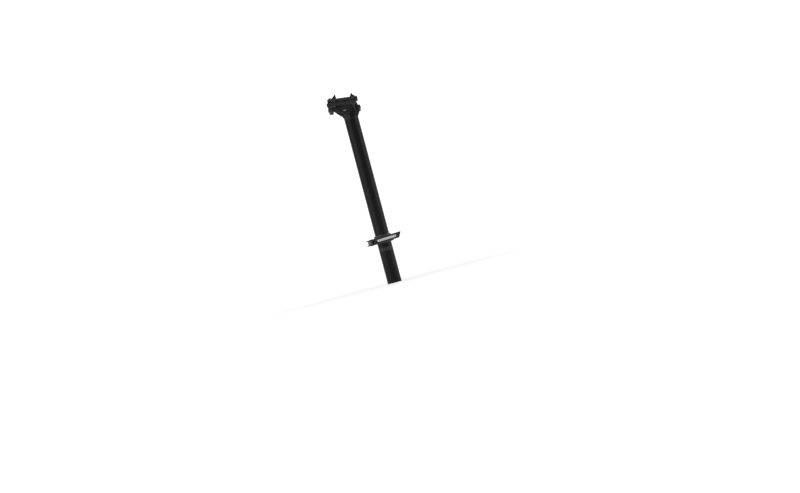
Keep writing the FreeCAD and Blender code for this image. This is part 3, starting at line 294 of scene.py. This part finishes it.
tubePiece = {
    "radius": 13.6,
    "length": 316.0,
    "bore": 11.6,
    "thickBore": 10.9,
    "thickZone": (60.0, 130.0),
    "taper": 15.0,
    "mark": (70.0, 70.8),  # the ring at the least depth
    "markDepth": 0.22,
    "markFlank": (0.06, 0.04),  # each flank leans over these two lengths
    "edge": 0.25,
    "edgeMiddle": 0.3,
    "topEdge": 0.1,
    "boreEdge": 0.6,
    "steps": 128,
    "lines": {"from": 61.5, "to": 68.5, "beyond": 12.5, "count": 28, "share": 0.22,
              "colour": (0.2, 0.2, 0.205)},
    "look": {"colour": (0.0038, 0.0039, 0.0043), "metal": 0.0, "gloss": 0.20,
             "cloud": 60.0, "spread": 1.35, "grain": 0.22, "stretch": (1, 1, 0.012),
             "speck": 1.5, "rough": (0.26, 0.34), "depth": 0.006, "strength": 0.5},
}


def addDepthLines(finish, lines):
    # Pale upright lines etched round the tube, just under the ring and on its outside alone.
    tree = finish.node_tree
    shader = tree.nodes["Principled BSDF"]
    place = tree.nodes.new("ShaderNodeTexCoord")
    parts = tree.nodes.new("ShaderNodeSeparateXYZ")
    tree.links.new(place.outputs["Object"], parts.inputs["Vector"])

    def work(operation, first, second=0.0, third=0.0):
        node = tree.nodes.new("ShaderNodeMath")
        node.operation = operation
        for socket, value in zip(node.inputs, (first, second, third)):
            if isinstance(value, float):
                socket.default_value = value
            else:
                tree.links.new(value, socket)
        return node.outputs["Value"]

    around = work("ARCTAN2", parts.outputs["Y"], parts.outputs["X"])
    turnPart = work("FRACT", work("MULTIPLY", around, lines["count"] / math.tau))
    onLine = work("LESS_THAN", turnPart, lines["share"])
    above = work("GREATER_THAN", parts.outputs["Z"], lines["from"] * mm)
    below = work("LESS_THAN", parts.outputs["Z"], lines["to"] * mm)
    squares = [work("MULTIPLY", parts.outputs[way], parts.outputs[way]) for way in "XY"]
    outside = work("GREATER_THAN", work("ADD", *squares), (lines["beyond"] * mm) ** 2)
    amount = work("MULTIPLY", work("MULTIPLY", onLine, outside), work("MULTIPLY", above, below))
    plain = shader.inputs["Base Color"].links[0].from_socket
    tree.links.new(blendColours(tree, amount, plain, lines["colour"]), shader.inputs["Base Color"])


def makeTube():
    tube = tubePiece
    radius, bore, length = tube["radius"], tube["bore"], tube["length"]
    edge, topEdge, boreEdge = tube["edge"], tube["topEdge"], tube["boreEdge"]
    middle = edge * tube["edgeMiddle"]
    foot, top = tube["thickZone"]
    low, high = tube["mark"]
    flankOut, flankIn = tube["markFlank"]
    inMark = radius - tube["markDepth"]
    work = bmesh.new()
    spinProfile(work, [
        (bore + boreEdge, 0), (radius - edge, 0), (radius - middle, middle), (radius, edge),
        (radius, low - flankOut), (inMark, low + flankIn),
        (inMark, high - flankIn), (radius, high + flankOut),
        (radius, length - topEdge), (radius - topEdge, length), (bore, length),
        (bore, top + tube["taper"]), (tube["thickBore"], top),
        (tube["thickBore"], foot), (bore, foot - tube["taper"]), (bore, boreEdge),
    ], (0, 0, 0), (0, 0, 1), tube["steps"])
    finish = makeFinish("blackAnodisedTube", tube["look"])
    addDepthLines(finish, tube["lines"])
    keepPiece("postTube", work, "post", finish, ("post_tube",), smooth=30)
    print("tube spun")


# Forged head and the two halves of the saddle clamp, fine-blasted and black anodised

forgedPieces = {
    "post_head": {"piece": "postHead", "body": "post", "edge": 0.18, "above": 316.2,
                  "colour": (0.0058, 0.0059, 0.0063)},
    "lower_cradle": {"piece": "lowerCradle", "body": "cradle", "edge": 0.35, "above": -1.0,
                     "colour": (0.0072, 0.0073, 0.0078)},
    "upper_clamp": {"piece": "upperClamp", "body": "upper", "edge": 0.35, "above": -1.0,
                    "colour": (0.0062, 0.0063, 0.0068)},
}
forgedLook = {"metal": 0.0, "gloss": 0.25, "cloud": 14.0, "spread": 1.45, "grain": 0.28,
              "speck": 1.9, "rough": (0.34, 0.48), "depth": 0.03, "strength": 0.7,
              "edge": (0.040, 0.040, 0.042)}


def makeForgedPieces():
    for node, piece in forgedPieces.items():
        work = copyNode(node)
        markRub(work, softenEdges(work, piece["edge"], above=piece["above"]))
        finish = makeFinish(piece["piece"] + "Forged", {**forgedLook, "colour": piece["colour"]})
        keepPiece(piece["piece"], work, piece["body"], finish, (node,))
    print("forged pieces dressed")


# Webs in pairs: beside the front boss, under the cradle and behind the clamp's pointed ribs.
# near and far are distances from the middle of the post, and the outline is seen from the side.

webPiece = {
    "bossWebs": {"body": "post", "node": "post_head", "finish": "postHeadForged",
                 "near": 6.3, "far": 8.4, "edge": 0.35,
                 "outline": [(11.0, 317.2), (13.0, 318.0), (14.4, 320.4), (16.3, 323.4),
                             (18.0, 326.2), (19.2, 329.4), (20.0, 332.6), (19.9, 335.0),
                             (18.6, 336.6), (12.0, 337.0)]},
    "cradleWebs": {"body": "cradle", "node": "lower_cradle", "finish": "lowerCradleForged",
                   "near": 1.0, "far": 3.6, "edge": 0.3,
                   "outline": [(-25.4, 349.4), (-25.4, 343.5), (-24.7, 342.7), (-14.2, 342.5),
                               (-13.6, 344.0), (-13.6, 349.4)]},
    "rearWebs": {"body": "upper", "node": "upper_clamp", "finish": "upperClampForged",
                 "near": 9.7, "far": 12.3, "edge": 0.3,
                 "outline": [(-21.5, 360.2), (-19.2, 367.6), (-21.2, 365.6), (-23.3, 363.7),
                             (-25.6, 362.1), (-27.9, 360.7)]},
    "frontWebs": {"body": "upper", "node": "upper_clamp", "finish": "upperClampForged",
                  "near": 9.7, "far": 12.3, "edge": 0.3,
                  "outline": [(12.6, 355.6), (12.2, 362.6), (13.3, 360.4), (14.6, 358.5),
                              (16.0, 356.7), (17.6, 355.2)]},
}


def sheetVerts(made):
    return [part for part in made["geom"] if isinstance(part, bmesh.types.BMVert)]


def makeWebs():
    for name, web in webPiece.items():
        work = bmesh.new()
        for side in (-1, 1):
            verts = [work.verts.new(Vector((x, side * web["near"], z)) * mm)
                     for x, z in web["outline"]]
            made = bmesh.ops.extrude_face_region(work, geom=[work.faces.new(verts)])
            bmesh.ops.translate(work, vec=(0, side * (web["far"] - web["near"]) * mm, 0),
                                verts=sheetVerts(made))
        bmesh.ops.recalc_face_normals(work, faces=work.faces)
        markRub(work, softenEdges(work, web["edge"]))
        keepPiece(name, work, web["body"], bpy.data.materials[web["finish"]])
    print("webs set")


# Oval domed pads on the head's sides, in a bright metal colour that is a painted highlight where
# the dome catches the light

highlightPadPiece = {
    "place": (-7.8, 334.6),
    "face": 15.8,
    "size": (3.0, 1.5),
    "rise": 0.28,
    "sunk": 0.3,
    "arcSteps": 8,
    "steps": 40,
    # The bright metal colour is a painted highlight on the dome; the dome itself is real shape.
    "look": {"colour": (0.20, 0.20, 0.205), "metal": 1.0, "cloud": 6.0, "spread": 1.2,
             "grain": 0.05, "stretch": (0.05, 1, 1), "rough": (0.28, 0.40), "depth": 0.004},
}


def makeHighlightPads():
    pad = highlightPadPiece
    x, z = pad["place"]
    width, height = pad["size"]
    finish = makeFinish("turnedOvalPad", pad["look"])
    turns = [math.pi / 2 * step / pad["arcSteps"] for step in range(pad["arcSteps"] + 1)]
    dome = [(math.sin(turn), pad["rise"] * math.cos(turn)) for turn in turns]
    for name, side in (("rightHighlightPad", -1), ("leftHighlightPad", 1)):
        # A round dome 1 mm in radius, stretched into the oval.
        work = bmesh.new()
        spinProfile(work, [(0, -pad["sunk"]), *dome, (1, -pad["sunk"])],
                    (0, 0, 0), (0, side, 0), pad["steps"])
        bmesh.ops.scale(work, vec=(width, 1, height), verts=work.verts)
        bmesh.ops.translate(work, vec=Vector((x, side * pad["face"], z)) * mm, verts=work.verts)
        keepPiece(name, work, "post", finish, smooth=50)
    print("oval pads set")


# Clamp bolts with rolled threads and hexagon sockets

seatCentres = {"rear": (-33.128, 0, 337.703), "front": (17.401, 0, 331.039)}
boltPieces = {
    "rear_clamp_bolt": {"piece": "rearBolt", "body": "rear_bolt", "edge": 0.18, "lean": 8.5,
                        "foot": seatCentres["rear"]},
    "front_clamp_bolt": {"piece": "frontBolt", "body": "front_bolt", "edge": 0.18, "lean": -8.0,
                         "foot": seatCentres["front"]},
}
boltThread = {"from": 12.6, "to": 26.0, "pitch": 0.8, "core": 2.05, "crest": 2.4,
              "stepsPerTurn": 24}
boltLook = {"colour": (0.052, 0.052, 0.056), "metal": 0.85, "cloud": 5.0, "spread": 1.5,
            "grain": 0.16, "rings": True, "rough": (0.26, 0.40), "depth": 0.008}


def makeBolts():
    for node, bolt in boltPieces.items():
        lean = math.radians(bolt["lean"])
        axis = (math.sin(lean), 0, math.cos(lean))
        work = copyNode(node)
        softenEdges(work, bolt["edge"])
        cutThread(work, bolt["foot"], axis, boltThread)
        look = {**boltLook, "centre": bolt["foot"], "turned": (0, bolt["lean"], 0)}
        finish = makeFinish(bolt["piece"] + "BlackZinc", look)
        keepPiece(bolt["piece"], work, bolt["body"], finish, (node,), smooth=42)
    print("bolts threaded")


# Small turned parts of the clamp

across = (90, 0, 0)
upright = (0, 0, 0)
turnedPieces = {
    "rear_cross_nut": {
        "piece": "rearCrossNut", "body": "rear_nut", "edge": 0.25,
        "look": {"colour": (0.075, 0.075, 0.08), "metal": 0.9, "turned": across,
                 "centre": (-29.839, 0, 359.709)}},
    "front_cross_nut": {
        "piece": "frontCrossNut", "body": "front_nut", "edge": 0.25,
        "look": {"colour": (0.075, 0.075, 0.08), "metal": 0.9, "turned": across,
                 "centre": (14.131, 0, 354.310)}},
    "rear_seat_washer": {
        "piece": "rearSeatWasher", "body": "rear_seat", "edge": 0.2,
        "look": {"colour": (0.06, 0.06, 0.066), "metal": 0.6, "turned": across,
                 "centre": seatCentres["rear"]}},
    "front_seat_washer": {
        "piece": "frontSeatWasher", "body": "front_seat", "edge": 0.2,
        "look": {"colour": (0.06, 0.06, 0.066), "metal": 0.6, "turned": across,
                 "centre": seatCentres["front"]}},
    "rear_flat_washer": {
        "piece": "rearFlatWasher", "body": "rear_seat", "edge": 0.12,
        "look": {"colour": (0.16, 0.16, 0.165), "metal": 1.0, "turned": upright,
                 "centre": seatCentres["rear"]}},
    "front_flat_washer": {
        "piece": "frontFlatWasher", "body": "front_seat", "edge": 0.12,
        "look": {"colour": (0.16, 0.16, 0.165), "metal": 1.0, "turned": upright,
                 "centre": seatCentres["front"]}},
}
turnedLook = {"cloud": 6.0, "spread": 1.3, "grain": 0.12, "rings": True, "rough": (0.28, 0.42),
              "depth": 0.006}


def makeTurnedPieces():
    for node, piece in turnedPieces.items():
        work = copyNode(node)
        softenEdges(work, piece["edge"])
        finish = makeFinish(piece["piece"] + "Turned", {**turnedLook, **piece["look"]})
        keepPiece(piece["piece"], work, piece["body"], finish, (node,))
    print("nuts and washers dressed")


# Quick-release collar, lever and what they turn on

collarPiece = {
    "edge": 0.4,
    "look": {"colour": (0.024, 0.0243, 0.0255), "metal": 0.0, "gloss": 0.5, "rings": True,
             "cloud": 12.0, "spread": 1.3, "grain": 0.16, "speck": 1.6, "rough": (0.24, 0.34),
             "depth": 0.007, "edge": (0.055, 0.055, 0.058)},
}
leverPiece = {
    "edge": 0.55,
    "look": {"colour": (0.0055, 0.0056, 0.0061), "metal": 0.0, "gloss": 0.30, "cloud": 10.0,
             "spread": 1.5, "grain": 0.22, "speck": 1.7, "rough": (0.30, 0.42), "depth": 0.016,
             "edge": (0.050, 0.050, 0.053)},
}
panelPiece = {
    "edge": 0.12,
    "look": {"colour": (0.0065, 0.0066, 0.0071), "metal": 0.0, "gloss": 0.30, "cloud": 9.0,
             "spread": 1.4, "grain": 0.16, "speck": 1.6, "rough": (0.24, 0.34), "depth": 0.008},
}
stripPiece = {
    "margin": 0.95,
    "proud": 0.15,
    "sunk": 0.1,
    "edge": 0.08,
    "look": {"colour": (0.60, 0.605, 0.615), "metal": 1.0, "cloud": 9.0, "spread": 1.18,
             "grain": 0.09, "stretch": (0.02, 1, 1), "speck": 0.72, "rough": (0.34, 0.50),
             "depth": 0.01},
}
barrelPiece = {
    "edge": 0.3,
    "look": {"colour": (0.095, 0.095, 0.1), "metal": 1.0, "rings": True, "cloud": 5.0,
             "centre": (-23.3, -19.82, 82.8), "spread": 1.2, "grain": 0.1, "speck": 0.8,
             "rough": (0.16, 0.26), "depth": 0.004},
}
rodAxis = {"centre": (-23.3, 0, 82.8), "turned": (90, 0, 0), "rings": True}
rodPiece = {
    "radius": 3.0,
    "near": -22.8,
    "edge": 0.3,
    "root": 0.05,
    "tip": 0.4,
    "past": 0.1,
    "steps": 48,
    "thread": {"from": 15.9, "to": 20.4, "pitch": 0.9, "core": 2.6, "crest": 2.98,
               "stepsPerTurn": 28},
    "look": {**rodAxis, "colour": (0.52, 0.52, 0.53), "metal": 1.0, "cloud": 6.0, "spread": 1.2,
             "grain": 0.1, "speck": 0.8, "rough": (0.24, 0.38), "depth": 0.005},
}
bushPiece = {
    "edge": 0.3,
    "look": {**rodAxis, "colour": (0.030, 0.030, 0.031), "metal": 0.0, "gloss": 0.4, "rings": False,
             "cloud": 4.0, "spread": 1.4, "grain": 0.2, "rough": (0.45, 0.6), "depth": 0.012},
}
washerPiece = {
    "edge": 0.2,
    "look": {**rodAxis, "colour": (0.032, 0.032, 0.035), "metal": 0.2, "cloud": 5.0, "spread": 1.4,
             "grain": 0.12, "rough": (0.28, 0.4), "depth": 0.006},
}
nutPiece = {
    "edge": 0.3,
    "look": {**rodAxis, "colour": (0.009, 0.009, 0.0098), "metal": 0.0, "gloss": 0.5, "cloud": 6.0,
             "spread": 1.4, "grain": 0.14, "speck": 1.6, "rough": (0.24, 0.36), "depth": 0.008,
             "edge": (0.055, 0.055, 0.058)},
}
insertPiece = {
    "edge": 0.15,
    "look": {**rodAxis, "colour": (0.66, 0.655, 0.61), "metal": 0.0, "rings": False, "cloud": 3.0,
             "spread": 1.08, "grain": 0.2, "speck": 0.9, "rough": (0.42, 0.55), "depth": 0.006},
}


def dressNode(node, name, body, piece, segments=2):
    work = copyNode(node)
    faces = softenEdges(work, piece["edge"], segments=segments)
    if "edge" in piece["look"]:
        markRub(work, faces)
    finish = makeFinish(name + "Finish", piece["look"])
    keepPiece(name, work, body, finish, (node,))


def makeStrip():
    # The panel's outer face, set in by a margin and made a thin plate on it.
    strip = stripPiece
    work = copyNode("lever_panel")
    outer = min(work.faces, key=lambda face: face.calc_center_median().y)
    bmesh.ops.inset_region(work, faces=[outer], thickness=strip["margin"] * mm, depth=0,
                           use_even_offset=True)
    bmesh.ops.delete(work, geom=[face for face in work.faces if face != outer], context="FACES")
    bmesh.ops.translate(work, vec=(0, strip["sunk"] * mm, 0), verts=work.verts)
    made = bmesh.ops.extrude_face_region(work, geom=[outer], use_keep_orig=True)
    bmesh.ops.translate(work, vec=(0, -(strip["sunk"] + strip["proud"]) * mm, 0),
                        verts=sheetVerts(made))
    bmesh.ops.recalc_face_normals(work, faces=work.faces)
    softenEdges(work, strip["edge"])
    keepPiece("panelStrip", work, "lever", makeFinish("groundStrip", strip["look"]))


def makeRod():
    rod = rodPiece
    thread = rod["thread"]
    centre, along = rod["look"]["centre"], (0, 1, 0)
    radius, near, edge, past = rod["radius"], rod["near"], rod["edge"], rod["past"]
    root = thread["core"] + rod["root"]
    work = bmesh.new()
    spinProfile(work, [
        (0, near), (radius - edge, near), (radius, near + edge), (radius, thread["from"] - edge),
        (root, thread["from"]), (root, thread["to"] - past),
        (thread["core"] - rod["tip"], thread["to"] + past), (0, thread["to"] + past),
    ], centre, along, rod["steps"])
    cutThread(work, centre, along, thread)
    finish = makeFinish("rodZincPlated", rod["look"])
    keepPiece("releaseRod", work, "rod", finish, ("release_rod",))


def makeCollar():
    dressNode("collar_band", "collarBand", "collar", collarPiece, 3)
    dressNode("cam_bush", "camBush", "collar", bushPiece)
    dressNode("nut_washer", "nutWasher", "collar", washerPiece)
    dressNode("release_lever", "releaseLever", "lever", leverPiece, 3)
    dressNode("lever_panel", "leverPanel", "lever", panelPiece)
    makeStrip()
    dressNode("lever_barrel", "leverBarrel", "rod", barrelPiece)
    makeRod()
    dressNode("adjusting_nut", "adjustingNut", "adjuster", nutPiece)
    dressNode("nut_insert", "nutInsert", "adjuster", insertPiece)
    print("collar and lever dressed")


# Floor, lamps and camera

studio = {
    "floor": {"radius": 9.0, "steps": 96, "under": 0.0006,
              "colour": 0.8, "show": (0.48, 1.0), "fade": (0.2, 1.0)},
    "backdrop": {"away": 3.2, "half": 4.5, "height": 5.0,
                 "colour": 0.8, "show": (1.0, 1.0), "fade": (0.0, 0.1)},
    "world": 0.18,
    "lamps": {
        "leftBox": {"turn": -58, "rise": 14, "away": 1.5, "size": (1.7, 1.9), "level": 1.0},
        "rightBox": {"turn": 78, "rise": 12, "away": 1.5, "size": (1.1, 1.9), "level": 1.2},
        "topBox": {"turn": -20, "rise": 72, "away": 1.6, "size": (1.6, 1.6), "level": 1.0},
        "rearBox": {"turn": 165, "rise": 25, "away": 1.7, "size": (1.5, 1.6), "level": 0.6},
    },
    "camera": {"centre": (0.02662, 0.06262), "away": 3.5, "roll": 14.85, "across": 1.496,
               "sensor": 36.0, "clip": (0.05, 60.0)},
}


def seenWhite(tree):
    path = tree.nodes.new("ShaderNodeLightPath")
    amount = path.outputs["Is Camera Ray"]
    for ray in ("Is Glossy Ray", "Is Transmission Ray"):
        larger = tree.nodes.new("ShaderNodeMath")
        larger.operation = "MAXIMUM"
        tree.links.new(amount, larger.inputs[0])
        tree.links.new(path.outputs[ray], larger.inputs[1])
        amount = larger.outputs["Value"]
    return amount


def backdropFinish(name, sheet):
    # Lit as written, with its own light towards camera, mirror and glass. That light grows with
    # the distance from the object: the far floor reads as white, the near one keeps the shadow.
    finish = bpy.data.materials.new(name)
    finish.use_nodes = True
    tree = finish.node_tree
    tree.nodes.clear()
    out = tree.nodes.new("ShaderNodeOutputMaterial")
    paint = addNode(tree, "ShaderNodeBsdfDiffuse", Color=(*[sheet["colour"]] * 3, 1))
    glow = addNode(tree, "ShaderNodeEmission", Color=(1, 1, 1, 1))
    both = tree.nodes.new("ShaderNodeAddShader")
    place = tree.nodes.new("ShaderNodeTexCoord")
    away = tree.nodes.new("ShaderNodeVectorMath")
    away.operation = "LENGTH"
    level = tree.nodes.new("ShaderNodeMath")
    level.operation = "MULTIPLY"
    tree.links.new(place.outputs["Object"], away.inputs[0])
    tree.links.new(seenWhite(tree), level.inputs[0])
    shown = rangeOf(tree, away.outputs["Value"], *sheet["show"], *sheet["fade"])
    tree.links.new(shown, level.inputs[1])
    tree.links.new(level.outputs["Value"], glow.inputs["Strength"])
    tree.links.new(paint.outputs["BSDF"], both.inputs[0])
    tree.links.new(glow.outputs["Emission"], both.inputs[1])
    tree.links.new(both.outputs["Shader"], out.inputs["Surface"])
    return finish


def keepSheet(name, work, finish):
    mesh = bpy.data.meshes.new(name)
    work.to_mesh(mesh)
    work.free()
    mesh.materials.append(finish)
    piece = bpy.data.objects.new(name, mesh)
    bpy.context.scene.collection.objects.link(piece)


def makeStage():
    floor = studio["floor"]
    work = bmesh.new()
    bmesh.ops.create_circle(work, cap_ends=True, segments=floor["steps"], radius=floor["radius"])
    bmesh.ops.translate(work, vec=(0, 0, -floor["under"]), verts=work.verts)
    keepSheet("floor", work, backdropFinish("paleFloor", floor))

    drop = studio["backdrop"]
    work = bmesh.new()
    work.faces.new([work.verts.new((side * drop["half"], drop["away"], height))
                    for side, height in ((-1, 0), (1, 0), (1, drop["height"]),
                                         (-1, drop["height"]))])
    keepSheet("backdrop", work, backdropFinish("whiteBackdrop", drop))
    print("floor and backdrop set")


def makeAir():
    # White towards camera and glass, dim as a light.
    world = bpy.data.worlds.new("studioAir")
    bpy.context.scene.world = world
    world.use_nodes = True
    tree = world.node_tree
    path = tree.nodes.new("ShaderNodeLightPath")
    shown = tree.nodes.new("ShaderNodeMath")
    shown.operation = "MAXIMUM"
    tree.links.new(path.outputs["Is Camera Ray"], shown.inputs[0])
    tree.links.new(path.outputs["Is Transmission Ray"], shown.inputs[1])
    air = tree.nodes["Background"]
    air.inputs["Color"].default_value = (1, 1, 1, 1)
    tree.links.new(rangeOf(tree, shown.outputs["Value"], studio["world"], 1.0, 0.0, 1.0),
                   air.inputs["Strength"])
    print("air set")


def makeLamps():
    centre = (cadBox[0] + cadBox[1]) / 2
    for name, box in studio["lamps"].items():
        turn, rise = math.radians(box["turn"]), math.radians(box["rise"])
        out = Vector((math.sin(turn) * math.cos(rise), -math.cos(turn) * math.cos(rise),
                      math.sin(rise)))
        data = bpy.data.lights.new(name, "AREA")
        data.shape = "RECTANGLE"
        data.size, data.size_y = box["size"]
        data.energy = box["level"] * math.pi * box["size"][0] * box["size"][1]
        lamp = bpy.data.objects.new(name, data)
        bpy.context.scene.collection.objects.link(lamp)
        lamp.location = centre + out * box["away"]
        lamp.rotation_euler = out.to_track_quat("Z", "Y").to_euler()
        lamp.visible_camera = False
    print("lamps hung")


def makeCamera():
    view = studio["camera"]
    data = bpy.data.cameras.new("camera")
    data.sensor_width = view["sensor"]
    data.lens = view["sensor"] * view["away"] / view["across"]
    data.clip_start, data.clip_end = view["clip"]
    camera = bpy.data.objects.new("camera", data)
    bpy.context.scene.collection.objects.link(camera)
    roll = math.radians(view["roll"])
    right = Vector((math.cos(roll), 0, -math.sin(roll)))
    up = Vector((math.sin(roll), 0, math.cos(roll)))
    x, z = view["centre"]
    spot = Vector((x, -view["away"], z))
    turned = Matrix((right, up, right.cross(up))).transposed()
    camera.matrix_world = Matrix.Translation(spot) @ turned.to_4x4()
    bpy.context.scene.camera = camera
    bpy.context.scene.view_settings.view_transform = "Standard"
    print("camera set")


makeTube()
makeForgedPieces()
makeWebs()
makeHighlightPads()
makeBolts()
makeTurnedPieces()
makeCollar()
makeStage()
makeAir()
makeLamps()
makeCamera()
